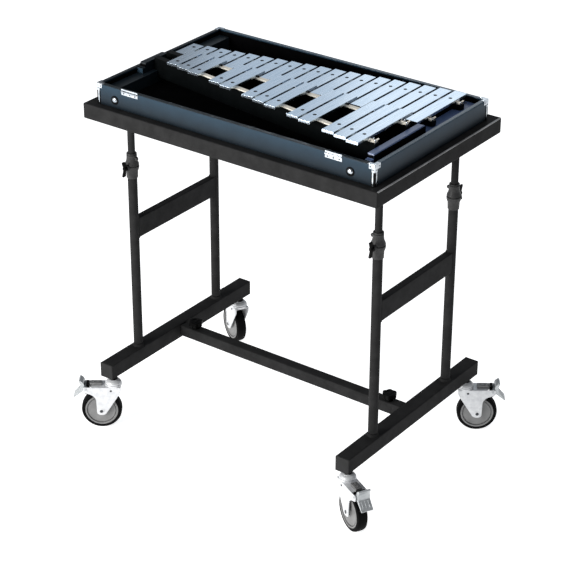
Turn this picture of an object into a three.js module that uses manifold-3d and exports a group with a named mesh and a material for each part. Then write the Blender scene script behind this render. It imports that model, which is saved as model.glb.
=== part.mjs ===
// Steel-bar glockenspiel in its open case, on a height-adjustable stand with casters.
// Millimetres, +Z up. +X runs towards the low notes, -Y is the audience's side.
// The origin is on the ground below the middle of the stand.
import * as THREE from 'three';
import { mergeVertices } from 'three/addons/utils/BufferGeometryUtils.js';
import Module from 'manifold-3d';

// ---- Driving dimensions ----
const gap = 0.3;

// Casters
const casterHeight = 152;
const swivelX = 365;
const swivelY = 264;
const trail = 32;
const wheelRadius = 52;
const wheelWidth = 28;
const axleRadius = 4;
const forkWidth = 40;
const cheekThickness = 3;
const casterHeadings = { front_left: 216, front_right: -28, rear_left: 152, rear_right: 36 };
const pedalPivotReach = 70;
const pedalPivotHeight = 116;

// Side frames
const footLength = 580;
const footWidth = 38;
const footHeight = 40;
const legSpacing = 323;
const lowerTubeRadius = 12;
const lowerTubeBore = 9.9;
const lowerTubeTop = 706;
const crossbarBottom = 500;
const crossbarHeight = 54;
const crossbarWidth = 20;
const tubeWall = 2;

// Stretcher
const stretcherSize = 30;
const stretcherBottom = 159;
const spigotReach = 66;
const stretcherKnobX = 305;

// Height clamps
const collarBottom = 667;
const collarTop = 733;
const clampHeight = 698;
const clampHeadings = { front_left: -90, front_right: -90, rear_left: 90, rear_right: 90 };

// Table frame
const tableLength = 850;
const tableDepth = 525;
const tableBottom = 844;
const tableTop = 883;
const tableRim = 36;
const tablePlate = 3;
const tableSkirt = 3;
const crossMemberWidth = 40;
const crossMemberHeight = 6;
const postRadius = 9;
const postBottom = 426;

// Case
const caseLeft = -395;
const caseRight = 405;
const caseFront = -243;
const caseBack = 230;
const caseTop = 936;
const caseWall = 10;
const caseFloor = 8;

// Tone bars
const naturalCount = 19;
const barPitch = 38.1;
const barWidth = 32;
const barThickness = 6.5;
const barChamfer = 1;
const barHoleRadius = 3.4;
const nodeFraction = 0.224;
const naturalTop = 945;
const naturalNearEnd = -6;
const naturalShortest = 87;
const naturalLongest = 215;
const accidentalTop = 963;
const accidentalFarEnd = 4;
const accidentalShortest = 97.5;
const accidentalLongest = 220;

// Frame under the bars
const railWidth = 16;
const railBottom = 906;
const endBoardTop = 922;
const naturalRailReach = 374;
const accidentalRailReach = 362;
const endBoardInner = 352;
const blockInner = 366;
const blockTop = 947;
const blockBackEnd = -5;
const blockStep = 10;

// ---- Values worked out from the driving dimensions ----
const corners = {
  front_left: [-1, -1],
  front_right: [1, -1],
  rear_left: [-1, 1],
  rear_right: [1, 1],
};
const footTop = casterHeight + footHeight;
const firstNaturalX = -barPitch * (naturalCount - 1) / 2;
const lastNaturalX = -firstNaturalX;
const caseBottom = tableTop + gap;
const caseFloorTop = caseBottom + caseFloor;
const naturalRailTop = naturalTop - barThickness - gap;
const accidentalRailTop = accidentalTop - barThickness - gap;

// ---- Materials ----
const finish = (color, roughness, metalness) =>
  new THREE.MeshStandardMaterial({ color, roughness, metalness });
const standPaint = finish(0x2c2c2e, 0.6, 0.3);
const casePaint = finish(0x2f4a60, 0.45, 0.1);
const framePaint = finish(0x5f7ba0, 0.55, 0.1);
const barSteel = finish(0xb4c6de, 0.3, 0.9);
const brightZinc = finish(0xd9dcdf, 0.3, 0.9);
const pedalSteel = finish(0xb4b9bd, 0.4, 0.9);
const tyreRubber = finish(0x2a2a2c, 0.7, 0);
const blackPlastic = finish(0x121212, 0.5, 0);

// ---- Solid helpers ----
const wasm = await Module();
wasm.setup();

function solid(geometry) {
  const plain = geometry.clone();
  plain.deleteAttribute('normal');
  plain.deleteAttribute('uv');
  const merged = mergeVertices(plain, 1e-4);
  return new wasm.Manifold(new wasm.Mesh({
    numProp: 3,
    vertProperties: new Float32Array(merged.attributes.position.array),
    triVerts: new Uint32Array(merged.index.array),
  }));
}

function geometryOf(body) {
  const mesh = body.getMesh();
  const geometry = new THREE.BufferGeometry();
  geometry.setAttribute('position', new THREE.BufferAttribute(mesh.vertProperties, 3));
  geometry.setIndex(new THREE.BufferAttribute(mesh.triVerts, 1));
  geometry.computeVertexNormals();
  return geometry;
}

// A box from its lowest to its highest corner.
function span(low, high) {
  const size = low.map((value, axis) => high[axis] - value);
  const box = new THREE.BoxGeometry(...size);
  box.translate(...low.map((value, axis) => (value + high[axis]) / 2));
  return solid(box);
}

// A round bar whose axis is parallel to x, y or z.
function rod(radius, length, axis, centre, sides = 16) {
  const cylinder = new THREE.CylinderGeometry(radius, radius, length, sides);
  if (axis === 'z') cylinder.rotateX(Math.PI / 2);
  if (axis === 'x') cylinder.rotateZ(Math.PI / 2);
  cylinder.translate(...centre);
  return solid(cylinder);
}

// An outline in the XZ plane, made `depth` thick about y = 0.
function plate(points, depth) {
  const shape = new THREE.Shape(points.map(([x, z]) => new THREE.Vector2(x, z)));
  const extruded = new THREE.ExtrudeGeometry(shape, { depth, bevelEnabled: false });
  extruded.rotateX(Math.PI / 2);
  extruded.translate(0, depth / 2, 0);
  return solid(extruded);
}

// A profile of [radius, height] points turned about the z axis.
function turned(profile, sides) {
  const points = profile.map(([radius, height]) => new THREE.Vector2(radius, height));
  const lathe = new THREE.LatheGeometry(points, sides);
  lathe.rotateX(Math.PI / 2);
  return solid(lathe);
}

function join(first, ...others) {
  return others.reduce((body, other) => body.add(other), first);
}

const group = new THREE.Group();

function addNode(name, body, material, parent = group) {
  const mesh = new THREE.Mesh(geometryOf(body), material);
  mesh.name = name;
  parent.add(mesh);
  return mesh;
}

function placeAt(x, y, headingDegrees = 0) {
  const holder = new THREE.Group();
  holder.position.set(x, y, 0);
  holder.rotation.z = THREE.MathUtils.degToRad(headingDegrees);
  group.add(holder);
  return holder;
}

// ---- Side frames: foot, two lower tubes, crossbar and stretcher spigot ----
function sideFrame() {
  const halfWidth = footWidth / 2;
  const halfLength = footLength / 2;
  const legY = legSpacing / 2;
  let body = span([-halfWidth, -halfLength, casterHeight], [halfWidth, halfLength, footTop]);
  const footBore = span(
    [-halfWidth + tubeWall, -halfLength - 1, casterHeight + tubeWall],
    [halfWidth - tubeWall, halfLength + 1, footTop - tubeWall]);
  body = body.subtract(footBore);

  const crossbar = span(
    [-crossbarWidth / 2, -legY, crossbarBottom],
    [crossbarWidth / 2, legY, crossbarBottom + crossbarHeight]);
  const crossbarHollow = span(
    [-crossbarWidth / 2 + tubeWall, -legY + lowerTubeRadius, crossbarBottom + tubeWall],
    [crossbarWidth / 2 - tubeWall, legY - lowerTubeRadius, crossbarBottom + crossbarHeight - tubeWall]);
  const drainHole = rod(4, 3 * tubeWall, 'z', [0, 0, crossbarBottom], 8);
  body = body.add(crossbar.subtract(crossbarHollow).subtract(drainHole));

  for (const y of [-legY, legY]) {
    const tubeHeight = lowerTubeTop - footTop;
    body = body.add(rod(lowerTubeRadius, tubeHeight, 'z', [0, y, footTop + tubeHeight / 2], 20));
  }
  for (const y of [-legY, legY]) {
    const boreBottom = footTop + 10;
    const boreHeight = lowerTubeTop + 1 - boreBottom;
    body = body.subtract(rod(lowerTubeBore, boreHeight, 'z', [0, y, boreBottom + boreHeight / 2], 20));
  }

  const spigotSize = stretcherSize - 2 * tubeWall - 1;
  const spigotMiddle = stretcherBottom + stretcherSize / 2;
  const spigot = span(
    [halfWidth - tubeWall, -spigotSize / 2, spigotMiddle - spigotSize / 2],
    [halfWidth + spigotReach, spigotSize / 2, spigotMiddle + spigotSize / 2]);
  return body.add(spigot);
}

addNode('side_frame_left', sideFrame(), standPaint, placeAt(-swivelX, 0));
addNode('side_frame_right', sideFrame(), standPaint, placeAt(swivelX, 0, 180));

// ---- Stretcher between the feet, with a clamp knob near each end ----
const stretcherEnd = swivelX - footWidth / 2 - gap;
const stretcherTop = stretcherBottom + stretcherSize;
const halfStretcher = stretcherSize / 2;
let stretcher = span(
  [-stretcherEnd, -halfStretcher, stretcherBottom],
  [stretcherEnd, halfStretcher, stretcherTop]);
stretcher = stretcher.subtract(span(
  [-stretcherEnd - 1, -halfStretcher + tubeWall, stretcherBottom + tubeWall],
  [stretcherEnd + 1, halfStretcher - tubeWall, stretcherTop - tubeWall]));
for (const side of [-1, 1]) {
  const hole = rod(3.6, 3 * tubeWall, 'z', [side * stretcherKnobX, 0, stretcherTop - 1], 12);
  stretcher = stretcher.subtract(hole);
}
addNode('stretcher_bar', stretcher, standPaint);

function stretcherKnob() {
  const lobes = 6;
  const outline = [];
  const steps = 4 * lobes;
  for (let step = 0; step < steps; step += 1) {
    const angle = (2 * Math.PI * step) / steps;
    const radius = 17.8 + 1.6 * Math.cos(lobes * angle);
    outline.push([radius * Math.cos(angle), radius * Math.sin(angle)]);
  }
  const shape = new THREE.Shape(outline.map(([x, y]) => new THREE.Vector2(x, y)));
  const head = new THREE.ExtrudeGeometry(shape, { depth: 12, bevelEnabled: false });
  head.translate(0, 0, stretcherTop + 9);
  const neck = rod(11, 9, 'z', [0, 0, stretcherTop + gap + 4.5], 16);
  const shank = rod(3, 8, 'z', [0, 0, stretcherTop + 1.5], 12);
  return join(solid(head), neck, shank);
}
addNode('stretcher_knob_left', stretcherKnob(), blackPlastic, placeAt(-stretcherKnobX, 0));
addNode('stretcher_knob_right', stretcherKnob(), blackPlastic, placeAt(stretcherKnobX, 0));

// ---- Height collars and their wing screws; +X points along each clamp's heading ----
const bossReach = 22;

function heightCollar(lugHeading) {
  const tubeFit = lowerTubeRadius + 2 * gap;
  const postFit = postRadius + 2 * gap;
  const shoulder = lowerTubeTop + gap;
  const ring = turned([
    [tubeFit, collarBottom],
    [tubeFit + 1.6, collarBottom],
    [tubeFit + 2.6, collarBottom + 20],
    [18, clampHeight - 4],
    [18, clampHeight + 6],
    [14, clampHeight + 14],
    [12.5, collarTop],
    [postFit, collarTop],
    [postFit, shoulder],
    [tubeFit, shoulder],
    [tubeFit, collarBottom],
  ], 16);
  const boss = rod(8, bossReach - 12.8, 'x', [(bossReach + 12.8) / 2, 0, clampHeight], 12);
  const lug = span([11.2, -4, collarTop - 17], [20, 4, collarTop - 9]).rotate([0, 0, lugHeading]);
  const bore = rod(3.4, 14, 'x', [bossReach - 4, 0, clampHeight], 12);
  return join(ring, boss, lug).subtract(bore);
}

function clampScrew() {
  const shank = rod(3, 9.5, 'x', [bossReach - 2, 0, clampHeight], 12);
  const hub = rod(6, 8, 'x', [bossReach + gap + 4, 0, clampHeight], 12);
  const wing = plate([
    [bossReach + 2, clampHeight - 4],
    [bossReach + 4, clampHeight - 8],
    [bossReach + 9, clampHeight - 20],
    [bossReach + 14, clampHeight - 18],
    [bossReach + 9, clampHeight],
    [bossReach + 14, clampHeight + 18],
    [bossReach + 9, clampHeight + 20],
    [bossReach + 4, clampHeight + 8],
    [bossReach + 2, clampHeight + 4],
  ], 6);
  return join(shank, hub, wing);
}

for (const [corner, [sideX, sideY]] of Object.entries(corners)) {
  const holder = placeAt(sideX * swivelX, sideY * legSpacing / 2, clampHeadings[corner]);
  addNode(`height_collar_${corner}`, heightCollar(sideX * sideY * 90), standPaint, holder);
  addNode(`clamp_screw_${corner}`, clampScrew(), blackPlastic, holder);
}

// ---- Table frame: rim, cross members over the legs, and the four sliding posts ----
function tableFrame() {
  const halfLength = tableLength / 2;
  const halfDepth = tableDepth / 2;
  const openingX = swivelX - 22;
  const openingY = halfDepth - tableRim;
  const plateUnderside = tableTop - tablePlate;
  const outer = span([-halfLength, -halfDepth, tableBottom], [halfLength, halfDepth, tableTop]);
  const underside = span(
    [-halfLength + tableSkirt, -halfDepth + tableSkirt, tableBottom - 1],
    [halfLength - tableSkirt, halfDepth - tableSkirt, plateUnderside]);
  const opening = span([-openingX, -openingY, tableBottom], [openingX, openingY, tableTop + 1]);
  let body = outer.subtract(underside);
  for (const side of [-1, 1]) {
    const crossMember = span(
      [side * swivelX - crossMemberWidth / 2, -halfDepth + 1, plateUnderside - crossMemberHeight],
      [side * swivelX + crossMemberWidth / 2, halfDepth - 1, plateUnderside + 1]);
    body = body.add(crossMember);
  }
  body = body.subtract(opening);
  for (const [sideX, sideY] of Object.values(corners)) {
    const x = sideX * swivelX;
    const y = sideY * legSpacing / 2;
    const height = plateUnderside - postBottom;
    const post = rod(postRadius, height, 'z', [x, y, postBottom + height / 2], 16);
    const bore = rod(postRadius - tubeWall, height, 'z', [x, y, postBottom + height / 2 - 12], 12);
    body = body.add(post).subtract(bore);
  }
  return body;
}
addNode('table_frame', tableFrame(), standPaint);

// ---- Case tub: floor and four walls, open above ----
const caseOuter = span([caseLeft, caseFront, caseBottom], [caseRight, caseBack, caseTop]);
const caseInner = span(
  [caseLeft + caseWall, caseFront + caseWall, caseFloorTop],
  [caseRight - caseWall, caseBack - caseWall, caseTop + 1]);
addNode('case_tub', caseOuter.subtract(caseInner), casePaint);

// ---- Bars: length and place of each, from its position along the row ----
function naturalLength(x) {
  const share = (x - firstNaturalX) / (lastNaturalX - firstNaturalX);
  return naturalShortest + share * (naturalLongest - naturalShortest);
}

const firstAccidentalX = firstNaturalX + 1.5 * barPitch;
const lastAccidentalX = lastNaturalX - barPitch / 2;
function accidentalLength(x) {
  const share = (x - firstAccidentalX) / (lastAccidentalX - firstAccidentalX);
  return accidentalShortest + share * (accidentalLongest - accidentalShortest);
}

// Each rail follows one line of vibration nodes, where a bar can be held without damping it.
const railLines = {
  naturalOuter: (x) => naturalNearEnd + (1 - nodeFraction) * naturalLength(x),
  naturalInner: (x) => naturalNearEnd + nodeFraction * naturalLength(x),
  accidentalInner: (x) => accidentalFarEnd - nodeFraction * accidentalLength(x),
  accidentalOuter: (x) => accidentalFarEnd - (1 - nodeFraction) * accidentalLength(x),
};

// ---- Frame under the bars: end boards, raised blocks and four rails ----
function rail(line, top, reach) {
  const half = railWidth / 2;
  const outline = new THREE.Shape([
    new THREE.Vector2(-reach, line(-reach) - half),
    new THREE.Vector2(reach, line(reach) - half),
    new THREE.Vector2(reach, line(reach) + half),
    new THREE.Vector2(-reach, line(-reach) + half),
  ]);
  const depth = top - railBottom;
  const extruded = new THREE.ExtrudeGeometry(outline, { depth, bevelEnabled: false });
  extruded.translate(0, 0, railBottom);
  return solid(extruded);
}

// A block on an end board: a low step at its front and a rounded shoulder at its back.
function raisedBlock(frontEnd, inner, outer) {
  const base = endBoardTop - 10;
  const shoulder = 12;
  const outline = [
    [frontEnd - blockStep, base],
    [frontEnd - blockStep, blockTop - shoulder],
    [frontEnd, blockTop - shoulder],
    [frontEnd, blockTop],
  ];
  for (let degrees = 90; degrees >= 0; degrees -= 30) {
    const angle = THREE.MathUtils.degToRad(degrees);
    outline.push([
      blockBackEnd - shoulder + shoulder * Math.cos(angle),
      blockTop - shoulder + shoulder * Math.sin(angle),
    ]);
  }
  outline.push([blockBackEnd, base]);
  const width = Math.abs(outer - inner);
  return plate(outline, width).rotate([0, 0, 90]).translate([(inner + outer) / 2, 0, 0]);
}

function barFrame() {
  const boardBottom = caseFloorTop + gap;
  const boardFront = caseFront + caseWall + gap;
  const boardBack = caseBack - caseWall - 4;
  let body = rail(railLines.naturalOuter, naturalRailTop, naturalRailReach);
  body = body.add(rail(railLines.naturalInner, naturalRailTop, naturalRailReach));
  body = body.add(rail(railLines.accidentalInner, accidentalRailTop, accidentalRailReach));
  body = body.add(rail(railLines.accidentalOuter, accidentalRailTop, accidentalRailReach));
  const ends = [
    { side: -1, wall: caseLeft + caseWall + gap, blockFront: -98 },
    { side: 1, wall: caseRight - caseWall - gap, blockFront: -216 },
  ];
  for (const { side, wall, blockFront } of ends) {
    const inner = side * endBoardInner;
    const board = span(
      [Math.min(inner, wall), boardFront, boardBottom],
      [Math.max(inner, wall), boardBack, endBoardTop]);
    body = body.add(board).add(raisedBlock(blockFront, side * blockInner, wall));
  }
  return body;
}
addNode('bar_frame', barFrame(), framePaint);

// ---- Tone bars: chamfered steel bars, each with a screw hole at its outer node ----
function toneBar(x, nearEnd, length, top, holeY) {
  const half = barWidth / 2;
  const bar = plate([
    [-half, top - barThickness],
    [half, top - barThickness],
    [half, top - barChamfer],
    [half - barChamfer, top],
    [-half + barChamfer, top],
    [-half, top - barChamfer],
  ], length).translate([x, nearEnd + length / 2, 0]);
  return bar.subtract(rod(barHoleRadius, 3 * barThickness, 'z', [x, holeY, top], 8));
}

const naturalNames = ['f5', 'g5', 'a5', 'b5', 'c6', 'd6', 'e6', 'f6', 'g6', 'a6', 'b6',
  'c7', 'd7', 'e7', 'f7', 'g7', 'a7', 'b7', 'c8'];
naturalNames.forEach((note, index) => {
  const x = lastNaturalX - index * barPitch;
  const length = naturalLength(x);
  const bar = toneBar(x, naturalNearEnd, length, naturalTop, railLines.naturalOuter(x));
  addNode(`bar_${note}`, bar, barSteel);

  // A sharp lies above the gap after every natural but E and B, up to the last C.
  const hasSharp = !['e', 'b'].includes(note[0]) && index < naturalCount - 1;
  if (hasSharp) {
    const sharpX = x - barPitch / 2;
    const sharpLength = accidentalLength(sharpX);
    const sharp = toneBar(sharpX, accidentalFarEnd - sharpLength, sharpLength, accidentalTop,
      railLines.accidentalOuter(sharpX));
    addNode(`bar_${note[0]}_sharp_${note[1]}`, sharp, barSteel);
  }
});

// ---- Casters: swivel fork, wheel and brake pedal; +X is the trailing direction ----
const slotWidth = forkWidth - 2 * cheekThickness;

function casterFork() {
  const axleHeight = wheelRadius;
  const tip = [];
  const tipRadius = 12;
  for (let angle = 215; angle <= 360; angle += 29) {
    const radians = THREE.MathUtils.degToRad(angle);
    tip.push([trail + tipRadius * Math.cos(radians), axleHeight + tipRadius * Math.sin(radians)]);
  }
  const cheeks = plate([
    [-20, 122], [-20, 109], ...tip,
    [44, 88], [54, 99], [77, 107], [77, 122],
  ], forkWidth);
  const slot = span([-40, -slotWidth / 2, 0], [100, slotWidth / 2, 118]);
  const pedalRoom = span([56, -slotWidth / 2, 106], [100, slotWidth / 2, 126]);
  const pivotHole = rod(3.5, forkWidth + 2, 'y', [pedalPivotReach, 0, pedalPivotHeight], 10);
  const head = turned([
    [0, 121], [20, 121], [21, 125], [21, 130], [17, 136], [11, 138],
    [11, casterHeight - gap], [0, casterHeight - gap],
  ], 16);
  const axle = rod(axleRadius, forkWidth + 4, 'y', [trail, 0, axleHeight], 12);
  const body = cheeks.subtract(slot).subtract(pedalRoom).subtract(pivotHole);
  return join(body, head, axle);
}

function casterWheel() {
  const half = wheelWidth / 2;
  const ring = turned([
    [axleRadius + 0.5, -half - 1], [11, -half - 1], [12, -half + 3], [34, -half + 3],
    [36, -half], [46, -half], [wheelRadius, -half + 5],
    [wheelRadius, half - 5], [46, half], [36, half],
    [34, half - 3], [12, half - 3], [11, half + 1], [axleRadius + 0.5, half + 1],
    [axleRadius + 0.5, -half - 1],
  ], 24);
  return ring.rotate([90, 0, 0]).translate([trail, 0, wheelRadius]);
}

function brakePedal() {
  const barrelLength = slotWidth - 2;
  const barrel = rod(5, barrelLength, 'y', [pedalPivotReach, 0, pedalPivotHeight], 12);
  const pin = rod(2.9, forkWidth + 2, 'y', [pedalPivotReach, 0, pedalPivotHeight], 10);
  const flap = plate([
    [72, 111], [102, 90], [104, 93], [84, 114], [82, 128], [88, 137], [84, 140],
    [74, 134], [72, 118],
  ], barrelLength);
  const shoe = span([63, -11, 96.4], [73, 11, 114]);
  return join(barrel, pin, flap, shoe);
}

for (const [corner, [sideX, sideY]] of Object.entries(corners)) {
  const holder = placeAt(sideX * swivelX, sideY * swivelY, casterHeadings[corner]);
  addNode(`caster_fork_${corner}`, casterFork(), brightZinc, holder);
  addNode(`caster_wheel_${corner}`, casterWheel(), tyreRubber, holder);
  addNode(`brake_pedal_${corner}`, brakePedal(), pedalSteel, holder);
}

export default group;
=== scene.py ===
import math

import bmesh
import bpy
from mathutils import Matrix, Vector


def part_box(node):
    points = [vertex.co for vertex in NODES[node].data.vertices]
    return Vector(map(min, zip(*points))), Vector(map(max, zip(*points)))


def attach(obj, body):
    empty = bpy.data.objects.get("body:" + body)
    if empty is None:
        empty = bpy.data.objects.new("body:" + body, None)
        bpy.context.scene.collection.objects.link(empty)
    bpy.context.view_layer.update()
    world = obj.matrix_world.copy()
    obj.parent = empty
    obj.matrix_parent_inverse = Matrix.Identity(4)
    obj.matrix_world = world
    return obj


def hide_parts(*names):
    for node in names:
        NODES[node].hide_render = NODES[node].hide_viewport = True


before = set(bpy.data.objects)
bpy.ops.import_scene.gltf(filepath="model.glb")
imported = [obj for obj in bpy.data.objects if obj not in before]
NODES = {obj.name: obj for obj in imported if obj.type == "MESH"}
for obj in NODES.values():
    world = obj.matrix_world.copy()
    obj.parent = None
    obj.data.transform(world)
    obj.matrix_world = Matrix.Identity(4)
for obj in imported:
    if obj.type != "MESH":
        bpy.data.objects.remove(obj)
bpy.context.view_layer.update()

# Steel-bar glockenspiel in its open case, on a rolling stand. Metres, +Z up, -Y is the audience's side.
MM = 0.001

# Millimetres, as in the CAD; pieces are drawn in millimetres and scaled when they are finished.
FOOT_BOTTOM = 152
FOOT_TOP = 192
CROSSBAR_BOTTOM = 500
TUBE_TOP = 706
COLLAR_BOTTOM = 667
COLLAR_TOP = 733
CLAMP_HEIGHT = 698
TABLE_BOTTOM = 844
CASE_WALL = 10
CASE_FLOOR = 8
RAIL_BOTTOM = 906
NATURAL_RAIL_TOP = 938.2
SHARP_RAIL_TOP = 956.2
END_BOARD_TOP = 922
BLOCK_TOP = 947
END_BOARD_INNER = 352
BLOCK_INNER = 366
BLOCK_OUTER = 383
POST_X = 365
POST_Y = 161.5
CASTER_Y = 264
KNOB_X = 305
FOOT_HALF_WIDTH = 19
SPIGOT_REACH = 66
TABLE_WALL = 3
LINING = 0.7
FLOOR_HALF = 26000


# ---------------------------------------------------------------- camera, floor and light
def make_camera():
    azimuth = math.radians(36.21)
    elevation = math.radians(27.93)
    roll = math.radians(0.25)
    back = Vector((
        math.sin(azimuth) * math.cos(elevation),
        -math.cos(azimuth) * math.cos(elevation),
        math.sin(elevation)))
    right = Vector((math.cos(azimuth), math.sin(azimuth), 0))
    up = back.cross(right)
    turn = Matrix((right, up, back)).transposed() @ Matrix.Rotation(roll, 3, "Z")
    data = bpy.data.cameras.new("camera")
    data.lens = 121.84
    data.sensor_width = 36
    camera = bpy.data.objects.new("camera", data)
    camera.matrix_world = Matrix.Translation((2.52778, -3.46246, 2.67791)) @ turn.to_4x4()
    bpy.context.scene.collection.objects.link(camera)
    bpy.context.scene.camera = camera


def make_light(name, place, aim, size, power, colour):
    data = bpy.data.lights.new(name, "AREA")
    data.shape = "RECTANGLE"
    data.size, data.size_y = size
    data.energy = power
    data.color = colour
    light = bpy.data.objects.new(name, data)
    light.location = place
    light.rotation_euler = (Vector(aim) - Vector(place)).to_track_quat("-Z", "Y").to_euler()
    bpy.context.scene.collection.objects.link(light)


def make_world():
    world = bpy.data.worlds.new("studio")
    bpy.context.scene.world = world
    world.use_nodes = True
    background = world.node_tree.nodes["Background"]
    background.inputs["Color"].default_value = (0.92, 0.95, 1.0, 1)
    background.inputs["Strength"].default_value = 0.26


make_camera()
make_world()
bpy.context.scene.view_settings.view_transform = "Standard"
make_light("key", (-1.4, -3.8, 1.7), (0, 0, 0.6), (2.2, 1.8), 190, (1, 0.99, 0.97))
make_light("top", (0.4, 0.6, 3.6), (0, 0, 0.9), (3.0, 2.6), 10, (0.95, 0.97, 1))
make_light("bar_sheen_wide", (-0.85, 2.35, 2.1), (0, 0, 0.96), (2.2, 1.3), 4.2, (0.74, 0.87, 1))
make_light("bar_sheen_right", (-0.75, 2.1, 2.1), (0.3, 0, 0.96), (0.9, 1.0), 1.6, (1, 1, 0.98))


# ---------------------------------------------------------------- materials
def new_material(name):
    material = bpy.data.materials.new(name)
    material.use_nodes = True
    tree = material.node_tree
    return material, tree, tree.nodes["Principled BSDF"]


def scaled_coordinates(tree, scale):
    """The piece's own coordinates, in metres, multiplied by scale."""
    coordinates = tree.nodes.new("ShaderNodeTexCoord")
    mapping = tree.nodes.new("ShaderNodeMapping")
    mapping.inputs["Scale"].default_value = scale
    tree.links.new(coordinates.outputs["Object"], mapping.inputs["Vector"])
    return mapping.outputs["Vector"]


def noise(tree, scale, detail=3, roughness=0.5, stretch=(1, 1, 1)):
    texture = tree.nodes.new("ShaderNodeTexNoise")
    texture.inputs["Scale"].default_value = scale
    texture.inputs["Detail"].default_value = detail
    texture.inputs["Roughness"].default_value = roughness
    tree.links.new(scaled_coordinates(tree, stretch), texture.inputs["Vector"])
    return texture.outputs["Fac"]


def colour_ramp(tree, source, stops):
    ramp = tree.nodes.new("ShaderNodeValToRGB")
    elements = ramp.color_ramp.elements
    while len(elements) < len(stops):
        elements.new(0.5)
    for element, (position, colour) in zip(elements, stops):
        element.position = position
        element.color = (*colour, 1)
    tree.links.new(source, ramp.inputs["Fac"])
    return ramp.outputs["Color"]


def value_range(tree, source, low, high):
    node = tree.nodes.new("ShaderNodeMapRange")
    node.inputs["To Min"].default_value = low
    node.inputs["To Max"].default_value = high
    tree.links.new(source, node.inputs["Value"])
    return node.outputs["Result"]


def add_bump(tree, shader, source, distance, strength=0.5):
    bump = tree.nodes.new("ShaderNodeBump")
    bump.inputs["Strength"].default_value = strength
    bump.inputs["Distance"].default_value = distance
    tree.links.new(source, bump.inputs["Height"])
    tree.links.new(bump.outputs["Normal"], shader.inputs["Normal"])


def surface(name, dark, light, roughness, metallic=0.0, blotch=30, grain=900, grain_depth=0.0001,
            stretch=(1, 1, 1), grain_strength=0.4, specular=0.5, drift_stretch=(1, 1, 1)):
    """A colour that drifts between dark and light, with a roughness that varies and a fine grain."""
    material, tree, shader = new_material(name)
    drift = noise(tree, blotch, 4, 0.6, drift_stretch)
    tree.links.new(colour_ramp(tree, drift, [(0.3, dark), (0.7, light)]), shader.inputs["Base Color"])
    shader.inputs["Metallic"].default_value = metallic
    shader.inputs["Specular IOR Level"].default_value = specular
    fine = noise(tree, grain, 3, 0.6, stretch)
    tree.links.new(value_range(tree, fine, *roughness), shader.inputs["Roughness"])
    add_bump(tree, shader, fine, grain_depth, grain_strength)
    return material


def darken_downwards(material, low, high, share):
    """Scales the colour from share at height low to 1 at height high: shading held in the paint."""
    tree = material.node_tree
    shader = tree.nodes["Principled BSDF"]
    colour = shader.inputs["Base Color"].links[0].from_socket
    split = tree.nodes.new("ShaderNodeSeparateXYZ")
    tree.links.new(scaled_coordinates(tree, (1, 1, 1)), split.inputs["Vector"])
    height = tree.nodes.new("ShaderNodeMapRange")
    height.inputs["From Min"].default_value = low
    height.inputs["From Max"].default_value = high
    height.inputs["To Min"].default_value = share
    tree.links.new(split.outputs["Z"], height.inputs["Value"])
    scale = tree.nodes.new("ShaderNodeVectorMath")
    scale.operation = "SCALE"
    tree.links.new(colour, scale.inputs[0])
    tree.links.new(height.outputs["Result"], scale.inputs["Scale"])
    tree.links.new(scale.outputs["Vector"], shader.inputs["Base Color"])


bar_steel = surface("bar_steel", (0.58, 0.70, 0.83), (0.76, 0.85, 0.94), (0.18, 0.32), 1.0,
                    blotch=40, grain=260, grain_depth=0.00002, stretch=(9, 0.35, 1), grain_strength=0.02,
                    drift_stretch=(9, 0.4, 4))
powder_coat = surface("powder_coat", (0.017, 0.017, 0.0173), (0.026, 0.026, 0.0264), (0.45, 0.62),
                      grain=1300, grain_depth=0.00012, grain_strength=0.5, specular=0.02)
case_vinyl = surface("case_vinyl", (0.007, 0.025, 0.044), (0.010, 0.032, 0.055), (0.36, 0.52),
                     grain=1600, grain_depth=0.00008, grain_strength=0.35, specular=0.2)
darken_downwards(case_vinyl, 0.886, 0.930, 0.22)
blue_paint = surface("blue_paint", (0.070, 0.112, 0.235), (0.090, 0.140, 0.280), (0.26, 0.38),
                     blotch=18, grain=700, grain_depth=0.00003)
black_lining = surface("black_lining", (0.0012, 0.0012, 0.0014), (0.003, 0.003, 0.0034), (0.8, 0.95),
                       grain=2200, grain_depth=0.00015, specular=0.02)
felt = surface("cream_felt", (0.93, 0.87, 0.74), (1.0, 0.96, 0.87), (0.88, 1.0),
               blotch=160, grain=2600, grain_depth=0.0004, grain_strength=0.8)
chrome = surface("chrome", (0.26, 0.30, 0.34), (0.62, 0.65, 0.68), (0.12, 0.26), 1.0,
                 blotch=110, grain=500, grain_depth=0.00001)
bright_zinc = surface("bright_zinc", (0.56, 0.57, 0.59), (0.72, 0.73, 0.74), (0.28, 0.44), 0.25,
                      blotch=90, grain=1100, grain_depth=0.00003)
pedal_steel = surface("pedal_steel", (0.40, 0.42, 0.43), (0.52, 0.54, 0.55), (0.32, 0.46), 0.60,
                      blotch=80, grain=900, grain_depth=0.00003)
tyre_rubber = surface("tyre_rubber", (0.0025, 0.0025, 0.0026), (0.006, 0.006, 0.0063), (0.50, 0.70),
                      grain=1500, grain_depth=0.0001, specular=0.03)
hub_plastic = surface("hub_plastic", (0.16, 0.16, 0.16), (0.22, 0.22, 0.22), (0.42, 0.58),
                      grain=1300, grain_depth=0.0001, specular=0.3)
black_plastic = surface("black_plastic", (0.0012, 0.0012, 0.0012), (0.003, 0.003, 0.0031), (0.40, 0.55),
                        grain=1100, grain_depth=0.00004, specular=0.05)
collar_coat = surface("collar_coat", (0.024, 0.024, 0.0243), (0.040, 0.040, 0.0404), (0.40, 0.55),
                      blotch=120, grain=900, grain_depth=0.00015, grain_strength=0.6, specular=0.2)
# A lighter grey used as a painted highlight along a rounded edge.
edge_highlight_coat = surface("edge_highlight_coat", (0.170, 0.170, 0.171), (0.420, 0.420, 0.424), (0.35, 0.50),
                    blotch=14, grain=1100, grain_depth=0.0001, specular=0.3)
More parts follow.
